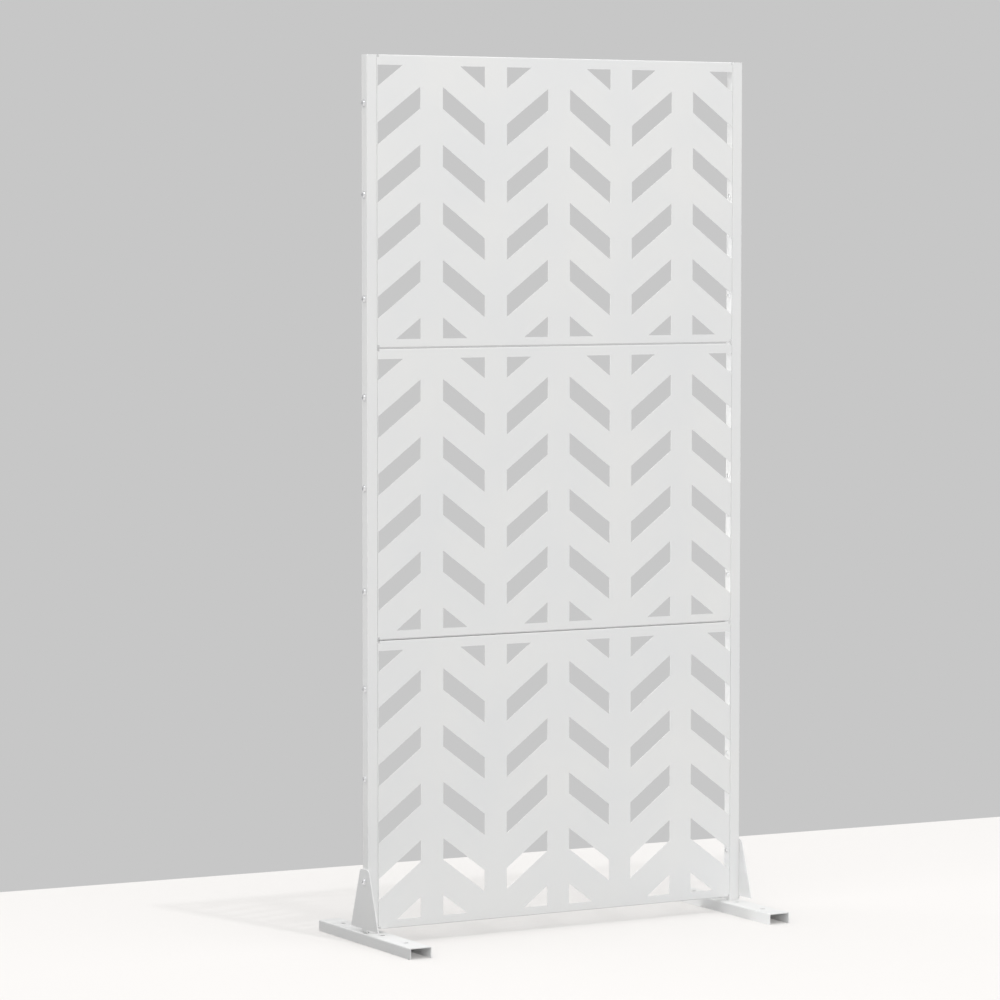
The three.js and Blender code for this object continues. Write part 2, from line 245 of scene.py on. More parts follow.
@dataclass(frozen=True)
class ZincPlate:
    """Bright zinc plating on the fasteners, cloudy and lightly scratched."""

    colour: tuple[float, float, float, float] = (0.88, 0.88, 0.88, 1.0)
    cloud: tuple[float, float, float, float] = (0.78, 0.79, 0.81, 1.0)
    cloud_size: float = 5 * MM
    roughness: tuple[float, float] = (0.38, 0.55)
    gloss_size: float = 1.6 * MM
    pit_size: float = 0.35 * MM
    relief: float = 0.012 * MM
    relief_strength: float = 0.5

    def build(self) -> bpy.types.Material:
        """The plating's material: cloudy colour, uneven gloss and fine pits.

        Returns:
            The material.
        """
        sheet = NodeSheet("zinc_steel")
        clouds = sheet.scaled(sheet.noise(self.cloud_size, 5.0, 0.6), (0.3, 0.7), (0.0, 1.0))
        colour = sheet.blended(clouds, self.colour, self.cloud)
        rough = sheet.scaled(sheet.noise(self.gloss_size, 6.0, 0.7), (0.3, 0.7), self.roughness)
        bump = sheet.node("ShaderNodeBump", {
            "Strength": self.relief_strength, "Distance": self.relief,
            "Height": sheet.noise(self.pit_size, 3.0)})
        return sheet.surface({
            "Base Color": colour, "Roughness": rough, "Normal": bump.outputs[0], "Metallic": 1.0})


@dataclass
class Finishes:
    """The materials of the object, by the record's slot names."""

    materials: dict[str, bpy.types.Material] = field(default_factory=dict)

    def build(self) -> None:
        """Makes every material once."""
        self.materials = {"powder_coat": PowderCoat().build(), "zinc_steel": ZincPlate().build()}

    def dress(self, piece: bpy.types.Object, slot: str, *nodes: str) -> None:
        """Gives a piece its finish, sets it on the body and lets it stand for its nodes.

        Args:
            piece: the finished object.
            slot: the record's material slot.
            nodes: names of the nodes that the piece stands for.
        """
        piece.data.materials.append(self.materials[slot])
        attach(piece, "root")
        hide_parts(*nodes)
        LOG.info("%s: %d vertices, for %s", piece.name, len(piece.data.vertices), ", ".join(nodes))


# ---------------------------------------------------------------------------------------------
# Sheet metal
# ---------------------------------------------------------------------------------------------


def quarter_fold(radius: float, steps: int = 8) -> tuple[np.ndarray, np.ndarray]:
    """A quarter fold's distances from the two planes that it joins.

    They are radius * (1 - cos t) and radius * (1 - sin t), with t from 0 to a right angle.

    Args:
        radius: of the fold's outside.
        steps: number of flat steps.

    Returns:
        The distances from the plane that it leaves, and from the plane that it reaches.
    """
    turns = np.linspace(0.0, math.pi / 2, steps + 1)
    return radius * (1 - np.cos(turns)), radius * (1 - np.sin(turns))


def clip_level(outline: np.ndarray, level: float, keep_below: bool) -> np.ndarray:
    """Cuts a convex outline at a level of its second coordinate.

    Each edge that crosses the level gets a point where it does, and the points on the wrong side
    go.

    Args:
        outline: points (n, 2).
        level: height of the cut.
        keep_below: whether the lower part is kept.

    Returns:
        The points that are left, in order.
    """
    if len(outline) == 0:
        return outline
    following = np.roll(outline, -1, axis=0)
    sign = 1.0 if keep_below else -1.0
    inside = sign * (outline[:, 1] - level) <= 0
    inside_next = np.roll(inside, -1)
    rise = np.where(inside != inside_next, following[:, 1] - outline[:, 1], 1.0)
    share = (level - outline[:, 1]) / rise
    crossing = outline + share[:, None] * (following - outline)
    pairs = np.stack([outline, crossing], axis=1).reshape(-1, 2)
    keep = np.stack([inside, inside != inside_next], axis=1).ravel()
    return pairs[keep]


class SheetNet:
    """One single-layer sheet: flat faces and folds that share their edges."""

    TOLERANCE = 1e-7
    SHARE_TOLERANCE = 1e-6
    HOLE_MARGIN = 1 * MM
    HOLE_STEPS = 24
    EDGE_ANGLE = math.radians(40)
    EDGE_STEPS = 2
    SHADING_WEIGHT = 50

    def __init__(self, core: tuple[float, float, float]) -> None:
        """Starts an empty net.

        Args:
            core: a point on the hollow side of the sheet, from which all of its faces turn away.
        """
        self.core = np.array(core, float)
        self.loops: list[np.ndarray] = []

    def add(self, outlines: np.ndarray) -> None:
        """Adds flat faces and turns each so that it looks away from the core.

        A face's normal is half the sum of the cross products of neighbouring corners, taken from
        their mean.

        Args:
            outlines: corners (faces, n, 3) in order.
        """
        outlines = np.asarray(outlines, float)
        centres = outlines.mean(axis=1)
        arms = outlines - centres[:, None]
        normals = np.cross(arms, np.roll(arms, -1, axis=1)).sum(axis=1)
        away = (normals * (centres - self.core)).sum(axis=1) > 0
        self.loops.extend(np.where(away[:, None, None], outlines, outlines[:, ::-1]))

    def face(self, loop: np.ndarray) -> None:
        """Adds one flat face from its corners (n, 3)."""
        self.add(np.asarray(loop)[None])

    def grid(self, x: np.ndarray, y: np.ndarray, z: np.ndarray) -> None:
        """Adds the quads of a grid of points from their coordinates, each spread over the grid.

        Args:
            x: places across, of any shape that spreads over (n, m), as are the others.
            y: places in depth.
            z: heights.
        """
        points = np.stack(np.broadcast_arrays(x, y, z), axis=-1)
        near, far = points[:-1], points[1:]
        quads = np.stack([near[:, :-1], far[:, :-1], far[:, 1:], near[:, 1:]], axis=2)
        self.add(quads.reshape(-1, 4, 3))

    def strip(
        self,
        place: "Plane",
        across: tuple[float, float],
        along: tuple[float, float],
        holes: list[tuple[float, float, float]],
    ) -> None:
        """Adds a flat strip with round holes, one after another along it.

        Each hole has a band of the strip to itself, in two halves that meet on the line through its
        centre. The plain stretches between the bands are rectangles.

        Args:
            place: the plane in which the strip lies.
            across: its two edges.
            along: its two ends.
            holes: (across, along, radius) of each hole.
        """
        start = along[0]
        turn = half_turn(self.HOLE_STEPS)
        for centre_u, centre_v, radius in sorted(holes, key=lambda hole: hole[1]):
            room = radius + self.HOLE_MARGIN
            low, high = centre_v - room, centre_v + room
            self.face(place.points(rectangle(across, (start, low))))
            for sign, edge in ((-1.0, across[0]), (1.0, across[1])):
                arc = np.column_stack([
                    centre_u + sign * radius * np.cos(turn), centre_v + radius * np.sin(turn)])
                rim = [[centre_u, high], [edge, high], [edge, low], [centre_u, low]]
                self.face(place.points(np.vstack([arc, rim])))
            start = high
        self.face(place.points(rectangle(across, (start, along[1]))))

    def stitched(self) -> tuple[np.ndarray, list[list[int]]]:
        """Merges points that coincide, and adds to each edge the points that lie on it.

        With d the way from an edge's start to a point and e the edge, the point's share of the edge
        is d.e / e.e and its distance from it is |d - share * e|. It belongs to the edge where that
        distance is nothing and the share is from 0 up to, but not including, 1.

        Returns:
            The points (n, 3) and the corners of each face.
        """
        corners = np.concatenate(self.loops)
        keys = np.round(corners / self.TOLERANCE).astype(np.int64)
        _, first, number = np.unique(keys, axis=0, return_index=True, return_inverse=True)
        points, number = corners[first], number.reshape(-1)
        sizes = np.array([len(loop) for loop in self.loops])
        starts = np.cumsum(sizes) - sizes
        following = np.arange(1, len(corners) + 1)
        following[starts + sizes - 1] = starts
        begin, end = points[number], points[number[following]]
        edge = end - begin
        length = np.maximum((edge ** 2).sum(axis=1), self.TOLERANCE ** 2)
        way = points[None] - begin[:, None]
        share = np.einsum("epk,ek->ep", way, edge) / length[:, None]
        off = np.linalg.norm(way - share[..., None] * edge[:, None], axis=-1)
        inside = (share > -self.SHARE_TOLERANCE) & (share < 1 - self.SHARE_TOLERANCE)
        within = inside & (number != number[following])[:, None]
        rows, found = np.nonzero(within & (off < 2 * self.TOLERANCE))
        order = np.lexsort((share[rows, found], rows))
        owner = np.repeat(np.arange(len(sizes)), sizes)[rows[order]]
        faces = np.split(found[order], np.flatnonzero(np.diff(owner)) + 1)
        return points, [face.tolist() for face in faces]

    def piece(self, name: str, thickness: float, edge_round: float) -> bpy.types.Object:
        """Makes the sheet: its thickness towards the hollow side, and rounded cut edges.

        Args:
            name: the piece's name.
            thickness: of the sheet.
            edge_round: radius of its cut edges under the coat.

        Returns:
            The object.
        """
        points, faces = self.stitched()
        piece = mesh_object(name, points, faces)
        solid = piece.modifiers.new("thickness", "SOLIDIFY")
        solid.thickness = thickness
        solid.offset = -1.0
        solid.use_even_offset = True
        rounding = piece.modifiers.new("edges", "BEVEL")
        rounding.width = edge_round
        rounding.segments = self.EDGE_STEPS
        rounding.limit_method = "ANGLE"
        rounding.angle_limit = self.EDGE_ANGLE
        rounding.miter_outer = "MITER_ARC"
        shading = piece.modifiers.new("shading", "WEIGHTED_NORMAL")
        shading.weight = self.SHADING_WEIGHT
        return piece


def half_turn(steps: int) -> np.ndarray:
    """Angles from straight down to straight up, in radians."""
    return np.linspace(-math.pi / 2, math.pi / 2, steps + 1)


def rectangle(across: tuple[float, float], along: tuple[float, float]) -> np.ndarray:
    """The corners of a rectangle from its two ranges."""
    (a, b), (c, d) = across, along
    return np.array([[a, c], [b, c], [b, d], [a, d]])


def mesh_object(name: str, points: np.ndarray, faces: list[list[int]]) -> bpy.types.Object:
    """Makes a smooth-shaded mesh object at the origin.

    Args:
        name: the object's name.
        points: places (n, 3).
        faces: corners of each face.

    Returns:
        The object, in the scene.
    """
    mesh = bpy.data.meshes.new(name)
    mesh.from_pydata(points.tolist(), [], faces)
    mesh.validate()
    mesh.shade_smooth()
    piece = bpy.data.objects.new(name, mesh)
    bpy.context.scene.collection.objects.link(piece)
    return piece


@dataclass(frozen=True)
class Plane:
    """A flat place in the model: an origin and the directions of its two coordinates."""

    origin: tuple[float, float, float]
    first: tuple[float, float, float]
    second: tuple[float, float, float]

    def points(self, flat: np.ndarray) -> np.ndarray:
        """Places in the model of points of the plane: origin + first * u + second * v.

        Args:
            flat: points (n, 2).

        Returns:
            Points (n, 3).
        """
        axes = np.array([self.first, self.second], float)
        return np.array(self.origin, float) + np.asarray(flat, float) @ axes


@dataclass(frozen=True)
class SlotPattern:
    """Slanted slots in columns, whose slope turns about from each column to the next."""

    columns: int = 6
    edge: float = 1.5 * MM
    bar: float = 53.8 * MM
    pitch: float = 120.5 * MM
    opening: float = 45.5 * MM
    slope: float = math.radians(36.9)
    start: float = 60.5 * MM
    top_border: float = 21 * MM
    bottom_border: float = 17.3 * MM
    least_web: float = 1 * MM

    def column_edges(self, reach: float) -> np.ndarray:
        """Left and right edge of each column.

        Args:
            reach: distance of the outermost edges from the middle.

        Returns:
            Edges (columns, 2).
        """
        width = (2 * reach - (self.columns - 1) * self.bar) / self.columns
        left = -reach + np.arange(self.columns) * (width + self.bar)
        return np.column_stack([left, left + width])

    def webs(self, reach: float, height: float) -> list[np.ndarray]:
        """The slanted strips of metal between the slots of all columns.

        A strip goes from the upper edge of one slot to the lower edge of the next. Both edges rise
        by the column's width times the tangent of the slope, and the plain borders cut them off.

        Args:
            reach: distance of the outermost slots from the middle.
            height: of the panel.

        Returns:
            Outlines (n, 2) with heights from the panel's lower edge.
        """
        outlines: list[np.ndarray] = []
        for number, (left, right) in enumerate(self.column_edges(reach)):
            low_end, high_end = (left, right) if number % 2 == 0 else (right, left)
            rise = (right - left) * math.tan(self.slope)
            for low in np.arange(self.start - 2 * self.pitch, height, self.pitch):
                upper_edge, next_edge = low + self.opening, low + self.pitch
                outline = np.array([
                    [low_end, upper_edge], [high_end, upper_edge + rise],
                    [high_end, next_edge + rise], [low_end, next_edge]])
                outline = clip_level(outline, height - self.top_border, True)
                outline = clip_level(outline, self.bottom_border, False)
                if len(outline) > 2 and np.ptp(outline[:, 1]) > self.least_web:
                    outlines.append(outline)
        return outlines


@dataclass
class PiercedPanel:
    """One panel: a shallow tray of thin sheet, open at the back, with slanted slots in its face."""

    node: str
    nut_nodes: list[str]
    sheet: float = 1.2 * MM
    bend: float = 1.5 * MM
    notch: float = 5 * MM
    edge_round: float = 0.15 * MM
    nut_hole: float = 5.8 * MM
    slots: SlotPattern = SlotPattern()

    def build(self) -> bpy.types.Object:
        """The panel's mesh: pierced face, four folds and four folded edges.

        Returns:
            The piece.
        """
        low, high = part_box(self.node)
        half = high.x
        height = high.z - low.z
        net = SheetNet((0.0, (low.y + high.y) / 2, (low.z + high.z) / 2))
        self.add_face(net, half, height, Plane((0, low.y, low.z), (1, 0, 0), (0, 0, 1)))
        self.add_level_folds(net, half)
        self.add_upright_folds(net, half)
        return net.piece(f"{self.node}_sheet", self.sheet, self.edge_round)

    def add_face(self, net: SheetNet, half: float, height: float, face: Plane) -> None:
        """Adds the pierced face: two level borders, upright bars and the strips between slots.

        Args:
            net: the sheet that is being made.
            half: half the panel's width.
            height: of the panel.
            face: the plane of its face.
        """
        flat, cut = half - self.bend, half - self.notch
        bottom, top = self.slots.bottom_border, height - self.slots.top_border
        for border, fold, step in (
            (bottom, self.bend, self.notch),
            (top, height - self.bend, height - self.notch),
        ):
            net.face(face.points(np.array([
                [-cut, fold], [cut, fold], [cut, step], [flat, step],
                [flat, border], [-flat, border], [-flat, step], [-cut, step]])))
        reach = half - self.slots.edge
        bar_edges = self.slots.column_edges(reach).ravel()[1:-1].reshape(-1, 2)
        for left, right in bar_edges:
            net.face(face.points(rectangle((left, right), (bottom, top))))
        for outline in self.slots.webs(reach, height):
            net.face(face.points(outline))

    def add_level_folds(self, net: SheetNet, half: float) -> None:
        """Adds the folded upper and lower edge: a quarter round from the face, then a flat flange.

        Args:
            net: the sheet that is being made.
            half: half the panel's width.
        """
        low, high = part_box(self.node)
        back, in_from_edge = quarter_fold(self.bend)
        depth = np.append(low.y + back, high.y)
        ends = np.array([-half + self.notch, half - self.notch])
        for edge, way in ((low.z, 1.0), (high.z, -1.0)):
            net.grid(ends[:, None], depth, np.append(edge + way * in_from_edge, edge))

    def add_upright_folds(self, net: SheetNet, half: float) -> None:
        """Adds the folded left and right edge, with the holes that hold the rivet nuts.

        Args:
            net: the sheet that is being made.
            half: half the panel's width.
        """
        low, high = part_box(self.node)
        back, in_from_edge = quarter_fold(self.bend)
        ends = np.array([low.z + self.notch, high.z - self.notch])
        heights = sorted({round(centre_of(node)[2], 6) for node in self.nut_nodes})
        for side in Side:
            net.grid(side.value * (half - in_from_edge)[:, None], (low.y + back)[:, None], ends)
            net.strip(
                Plane((side.value * half, 0, 0), (0, 1, 0), (0, 0, 1)),
                (low.y + self.bend, high.y),
                (ends[0], ends[1]),
                [(0.0, height, self.nut_hole) for height in heights],
            )


@dataclass
class TubePost:
    """An upright square tube, to whose inner side the panels are screwed."""

    side: Side
    bolt_nodes: list[str]
    wall: float = 1.2 * MM
    corner: float = 1.5 * MM
    edge_round: float = 0.3 * MM
    screw_hole: float = 4.3 * MM
    rivet_hole: float = 5.8 * MM
    relief_width: float = 2.8 * MM
    relief_height: float = 2.8 * MM

    def build(self) -> bpy.types.Object:
        """The post's mesh: outer and inner wall with holes, front and back wall, four corners.

        Returns:
            The piece.
        """
        node = f"post_{self.side.label}"
        low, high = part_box(node)
        sign = self.side.value
        inner, outer = reach_of(node)
        net = SheetNet((sign * (outer + inner) / 2, 0.0, high.z / 2))
        start = low.z + self.relief_height
        heights = [centre_of(name)[2] for name in self.bolt_nodes]
        flat = (low.y + self.corner, high.y - self.corner)
        for x, foot, hole in ((outer, start, self.screw_hole), (inner, low.z, self.rivet_hole)):
            net.strip(
                Plane((sign * x, 0, 0), (0, 1, 0), (0, 0, 1)), flat, (foot, high.z),
                [(0.0, height, hole) for height in heights])
        from_face, from_side = quarter_fold(self.corner)
        for face, way in ((low.y, 1.0), (high.y, -1.0)):
            depth = (face + way * from_face)[:, None]
            for x, inward, foot in ((outer, -1.0, start), (inner, 1.0, low.z)):
                across = sign * (x + inward * from_side)[:, None]
                net.grid(across, depth, np.array([foot, high.z]))
            plane = Plane((0, face, 0), (sign, 0, 0), (0, 0, 1))
            step = outer - self.relief_width
            net.face(plane.points(np.array([
                [outer - self.corner, start], [step, start], [step, low.z],
                [inner + self.corner, low.z], [inner + self.corner, high.z],
                [outer - self.corner, high.z]])))
        return net.piece(f"{node}_tube", self.wall, self.edge_round)


@dataclass
class ChannelFoot:
    """An inverted channel that lies across the screen's end, with holes for ground anchors."""

    side: Side
    sheet: float = 2.5 * MM
    bend: float = 3 * MM
    edge_round: float = 0.5 * MM
    anchor_hole: float = 6 * MM
    anchor_end: float = 65 * MM
    anchor_inner: float = 36 * MM
    bolt_hole: float = 4.3 * MM

    def build(self) -> bpy.types.Object:
        """The foot's mesh: top with holes, two folds and two walls.

        Returns:
            The piece.
        """
        node = f"foot_{self.side.label}"
        low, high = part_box(node)
        net = SheetNet(((low.x + high.x) / 2, 0.0, high.z / 2))
        ends = (low.y, high.y)
        net.strip(
            Plane((0, 0, high.z), (1, 0, 0), (0, 1, 0)),
            (low.x + self.bend, high.x - self.bend),
            ends,
            self.holes((low.x + high.x) / 2, high.y - self.anchor_end),
        )
        from_wall, from_top = quarter_fold(self.bend)
        for wall, way in ((low.x, 1.0), (high.x, -1.0)):
            across = (wall + way * from_wall)[:, None]
            net.grid(across, np.array(ends), (high.z - from_top)[:, None])
            net.face(Plane((wall, 0, 0), (0, 1, 0), (0, 0, 1)).points(
                rectangle(ends, (low.z, high.z - self.bend))))
        return net.piece(f"{node}_channel", self.sheet, self.edge_round)

    def holes(self, centre: float, outer: float) -> list[tuple[float, float, float]]:
        """The anchor holes on the foot's centre line and the hole of the bracket's bolt.

        Args:
            centre: x of the foot's centre line.
            outer: distance of the outer anchor holes from the middle of the foot's length.

        Returns:
            (x, y, radius) of each hole.
        """
        anchors = [(centre, y, self.anchor_hole)
                   for y in (-outer, -self.anchor_inner, self.anchor_inner, outer)]
        bolt = centre_of(f"tab_bolt_{self.side.label}")
        return anchors + [(bolt[0], bolt[1], self.bolt_hole)]


@dataclass
class AngleBracket:
    """A tapering plate on the outside of the post, folded under it into a tab on the foot."""

    side: Side
    sheet: float = 2.5 * MM
    bend: float = 5 * MM
    rise: float = 9.5 * MM
    edge_round: float = 0.5 * MM
    top_width: float = 38 * MM
    corner: float = 11 * MM
    tab_width: float = 22 * MM
    bolt_hole: float = 4.3 * MM
    corner_steps: int = 12

    def build(self) -> bpy.types.Object:
        """The bracket's mesh: plate, neck, fold and tab.

        Returns:
            The piece.
        """
        node = f"bracket_{self.side.label}"
        low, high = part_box(node)
        sign = self.side.value
        inner, outer = reach_of(node)
        net = SheetNet((sign * (outer + inner) / 2, 0.0, (low.z + high.z) / 2))
        face = Plane((sign * outer, 0, low.z), (0, 1, 0), (0, 0, 1))
        half = self.tab_width / 2
        net.face(face.points(rectangle((-half, half), (self.bend, self.rise))))
        self.add_plate(net, face)
        from_plate, from_tab = quarter_fold(self.bend)
        x = sign * (outer - from_plate)[:, None]
        net.grid(x, np.array([-half, half]), (low.z + from_tab)[:, None])
        net.strip(
            Plane((0, 0, low.z), (sign, 0, 0), (0, 1, 0)),
            (inner, outer - self.bend),
            (-half, half),
            [(abs(centre_of(f"tab_bolt_{self.side.label}")[0]), 0.0, self.bolt_hole)],
        )
        return net.piece(f"{node}_plate", self.sheet, self.edge_round)

    def add_plate(self, net: SheetNet, face: Plane) -> None:
        """Adds the plate in two halves that meet on its middle line, with the bolt's hole between.

        The sides lean in by an even amount, and the upper corners are arcs from the side's own
        direction to level.

        Args:
            net: the sheet that is being made.
            face: the plate's plane, with heights from the underside of the tab.
        """
        low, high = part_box(f"bracket_{self.side.label}")
        base = (high.y - low.y) / 2
        height = high.z - low.z
        lean = math.atan2(base - self.top_width / 2, height - self.rise)
        centre = self.top_width / 2 - self.corner * math.tan(math.pi / 4 - lean / 2)
        arc_turn = np.linspace(lean, math.pi / 2, self.corner_steps + 1)
        corner = np.column_stack([
            centre + self.corner * np.cos(arc_turn),
            height - self.corner + self.corner * np.sin(arc_turn)])
        bolt = centre_of(f"bracket_bolt_{self.side.label}")[2] - low.z
        hole_turn = half_turn(SheetNet.HOLE_STEPS)[::-1]
        hole = np.column_stack([
            self.bolt_hole * np.cos(hole_turn), bolt + self.bolt_hole * np.sin(hole_turn)])
        half = np.vstack([[[0, self.rise], [base, self.rise]], corner, [[0, height]], hole])
        for way in (-1.0, 1.0):
            net.face(face.points(half * np.array([way, 1.0])))


# ---------------------------------------------------------------------------------------------
# Fasteners
# ---------------------------------------------------------------------------------------------


SOFT_EDGE = 0.25 * MM
MOUTH = 0.4 * MM
ROUND_STEPS = 48
TURN = np.arange(ROUND_STEPS) * (2 * math.pi / ROUND_STEPS)


def hexagon(flats: float) -> np.ndarray:
    """Radius of a regular hexagon in each direction.

    It is half the width over the cosine of the angle from the nearest flat's middle.

    Args:
        flats: width across the flats.

    Returns:
        Radii at the standard turn.
    """
    from_flat = (TURN + math.pi / 6) % (math.pi / 3) - math.pi / 6
    return flats / 2 / np.cos(from_flat)


class RingStack:
    """A closed solid of rings about an axis, each with its own radius in every direction."""

    THREAD_DEPTH = 0.54
    THREAD_STEPS = 5
    SHARP_ANGLE = math.radians(35)

    def __init__(self) -> None:
        """Starts an empty stack."""
        self.radii: list[np.ndarray] = []
        self.levels: list[np.ndarray] = []

    def ring(self, radius: float | np.ndarray, level: float | np.ndarray) -> None:
        """Adds a ring.

        Args:
            radius: one radius, or one for each direction.
            level: its height along the axis, or one for each direction.
        """
        self.radii.append(np.broadcast_to(radius, TURN.shape))
        self.levels.append(np.broadcast_to(level, TURN.shape))

    def arc(self, start: tuple[float, float], end: tuple[float, float], steps: int) -> None:
        """Adds rings on a quarter ellipse that leaves its start along the axis and ends level.

        radius = end + (start - end) * cos t and level = start + (end - start) * sin t.

        Args:
            start: (radius, level) of its foot.
            end: (radius, level) of its crown.
            steps: number of rings.
        """
        turns = np.linspace(0, math.pi / 2, steps)[:, None]
        whole = np.ones_like(TURN)
        self.radii.extend((end[0] + (start[0] - end[0]) * np.cos(turns)) * whole)
        self.levels.extend((start[1] + (end[1] - start[1]) * np.sin(turns)) * whole)

    def thread(self, major: float, pitch: float, low: float, high: float) -> None:
        """Adds a helical thread.

        The radius falls from the crest by a triangle wave of level over pitch less the turn, and
        the wave fades out over one pitch at both ends.

        Args:
            major: radius of the crests.
            pitch: rise of one turn.
            low: level of its lower end.
            high: level of its upper end.
        """
        depth = self.THREAD_DEPTH * pitch
        steps = int(round((high - low) / pitch * self.THREAD_STEPS))
        levels = np.linspace(low, high, steps + 1)[:, None]
        wave = np.abs(2 * ((levels / pitch - TURN / (2 * math.pi)) % 1.0) - 1)
        fade = np.clip(np.minimum(levels - low, high - levels) / pitch, 0.0, 1.0)
        self.radii.extend(major - depth * wave * fade)
        self.levels.extend(np.broadcast_to(levels, wave.shape))

    def piece(
        self, name: str, middle: np.ndarray, axis: Axis, side: Side, hollow: bool
    ) -> bpy.types.Object:
        """Makes the solid and points its axis outward, up or down.

        Args:
            name: the piece's name.
            middle: the place of the stack's level 0 on its axis.
            axis: the direction of growing level.
            side: the end of the screen that it is on.
            hollow: whether the last ring joins the first, as round a bore, or both ends are capped.

        Returns:
            The piece.
        """
        radii, levels = np.array(self.radii), np.array(self.levels)
        u, v = radii * np.cos(TURN), radii * np.sin(TURN)
        if axis is Axis.UP:
            points = np.stack([u, v, levels], axis=-1)
        elif axis is Axis.DOWN:
            points = np.stack([u, -v, -levels], axis=-1)
        else:
            points = np.stack([side.value * levels, side.value * u, v], axis=-1)
        count = len(radii)
        number = np.arange(count * ROUND_STEPS).reshape(count, ROUND_STEPS)
        rows = np.vstack([number, number[:1]]) if hollow else number
        nearer, further = rows[:-1], rows[1:]
        quads = np.stack([
            nearer, np.roll(nearer, -1, axis=1), np.roll(further, -1, axis=1), further], axis=-1)
        faces = quads.reshape(-1, 4).tolist()
        if not hollow:
            faces += [number[0][::-1].tolist(), number[-1].tolist()]
        piece = mesh_object(name, points.reshape(-1, 3) + middle, faces)
        piece.data.set_sharp_from_angle(angle=self.SHARP_ANGLE)
        return piece


@dataclass
class ButtonScrew:
    """A flanged button-head screw with a hexagonal socket."""

    node: str
    side: Side
    axis: Axis
    major: float = 4 * MM
    pitch: float = 1.25 * MM
    head: float = 8 * MM
    head_height: float = 4.8 * MM
    socket: float = 5 * MM
    tip_step: float = 0.8 * MM
    tip_length: float = 0.5 * MM
    runout: float = 1.5 * MM
    dome_share: float = 0.8
    crown_share: float = 0.48

    def build(self) -> bpy.types.Object:
        """The screw from its tip to the socket's floor: threaded shank, flange, dome and socket.

        Returns:
            The piece.
        """
        low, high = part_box(self.node)
        span = high.x - low.x if self.axis is Axis.OUTWARD else high.z - low.z
        length = span - self.head_height
        flange, floor = self.head_height / 4, self.head_height / 2
        dome, crown = self.head * self.dome_share, self.head * self.crown_share
        socket = hexagon(self.socket)
        stack = RingStack()
        stack.ring(self.major - self.tip_step, -length)
        stack.thread(self.major, self.pitch, -length + self.tip_length, -self.runout)
        stack.ring(self.major, 0.0)
        stack.ring(self.head - SOFT_EDGE, 0.0)
        stack.arc((self.head, SOFT_EDGE), (self.head - SOFT_EDGE, flange), 4)
        stack.ring(dome + SOFT_EDGE, flange)
        stack.arc((dome, flange + SOFT_EDGE), (crown, self.head_height), 9)
        stack.ring(socket + SOFT_EDGE, self.head_height)
        stack.ring(socket, self.head_height - SOFT_EDGE)
        stack.ring(socket, floor)
        stack.ring(self.socket / 4, floor - 2 * SOFT_EDGE)
        name = self.node.replace("_bolt", "_button_bolt").replace("side_screw", "side_button_screw")
        return stack.piece(name, self.seat(), self.axis, self.side, hollow=False)

    def seat(self) -> np.ndarray:
        """The point of the axis under the head.

        Returns:
            The point.
        """
        centre = centre_of(self.node)
        if self.axis is Axis.DOWN:
            centre[2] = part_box(self.node)[0].z + self.head_height
        else:
            centre[0] = self.side.value * (reach_of(self.node)[1] - self.head_height)
        return centre


@dataclass
class RivetNut:
    """A sleeve nut whose thin rim lies on the inner face of the panel's folded edge."""

    node: str
    side: Side
    bore: float = 4.3 * MM
    body: float = 5.5 * MM
    rim: float = 6.25 * MM
    rim_height: float = 0.8 * MM

    def build(self) -> bpy.types.Object:
        """The nut: rim inwards, sleeve outwards, bore with chamfered mouths.

        Returns:
            The piece.
        """
        inner, outer = reach_of(self.node)
        sleeve = outer - inner - self.rim_height
        stack = RingStack()
        for radius, level in (
            (self.bore, -self.rim_height + MOUTH), (self.bore + MOUTH, -self.rim_height),
            (self.rim - SOFT_EDGE, -self.rim_height), (self.rim, -self.rim_height + SOFT_EDGE),
            (self.rim, 0.0), (self.body, 0.0), (self.body, sleeve - SOFT_EDGE),
            (self.body - SOFT_EDGE, sleeve), (self.bore + MOUTH, sleeve),
            (self.bore, sleeve - MOUTH),
        ):
            stack.ring(radius, level)
        centre = centre_of(self.node)
        centre[0] = self.side.value * (inner + self.rim_height)
        name = self.node.replace("rivet_nut", "sleeve_nut")
        return stack.piece(name, centre, Axis.OUTWARD, self.side, hollow=True)


@dataclass
class HexNut:
    """A hexagonal nut on the bracket's tab, its corners chamfered by a cone."""

    node: str
    side: Side
    bore: float = 4.3 * MM
    flats: float = 13 * MM
    cone_share: float = 0.97
    cone_slope: float = math.radians(30)

    def build(self) -> bpy.types.Object:
        """The nut: each ring is the smaller of the hexagon and the chamfer's cone.

        Returns:
            The piece.
        """
        low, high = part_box(self.node)
        height = high.z - low.z
        shape = hexagon(self.flats)
        cone = self.flats / 2 * self.cone_share
        drop = (shape - cone) * math.tan(self.cone_slope)
        stack = RingStack()
        for radius, level in (
            (self.bore, -height + MOUTH), (self.bore + MOUTH, -height), (cone, -height),
            (shape, -height + drop), (shape, -drop), (cone, 0.0), (self.bore + MOUTH, 0.0),
            (self.bore, -MOUTH),
        ):
            stack.ring(radius, level)
        centre = centre_of(self.node)
        centre[2] = high.z
        return stack.piece(f"{self.node}_hex", centre, Axis.UP, self.side, hollow=True)


# ---------------------------------------------------------------------------------------------
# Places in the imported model
# ---------------------------------------------------------------------------------------------


def centre_of(node: str) -> np.ndarray:
    """The middle of a node's box."""
    low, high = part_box(node)
    return (np.array(low) + np.array(high)) / 2


def reach_of(node: str) -> tuple[float, float]:
    """Distances of a node's inner and outer side from the middle of the screen."""
    low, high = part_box(node)
    return min(abs(low.x), abs(high.x)), max(abs(low.x), abs(high.x))


def nodes_with(prefix: str) -> list[str]:
    """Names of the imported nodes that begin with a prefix, in order."""
    return sorted(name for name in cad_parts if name.startswith(prefix))


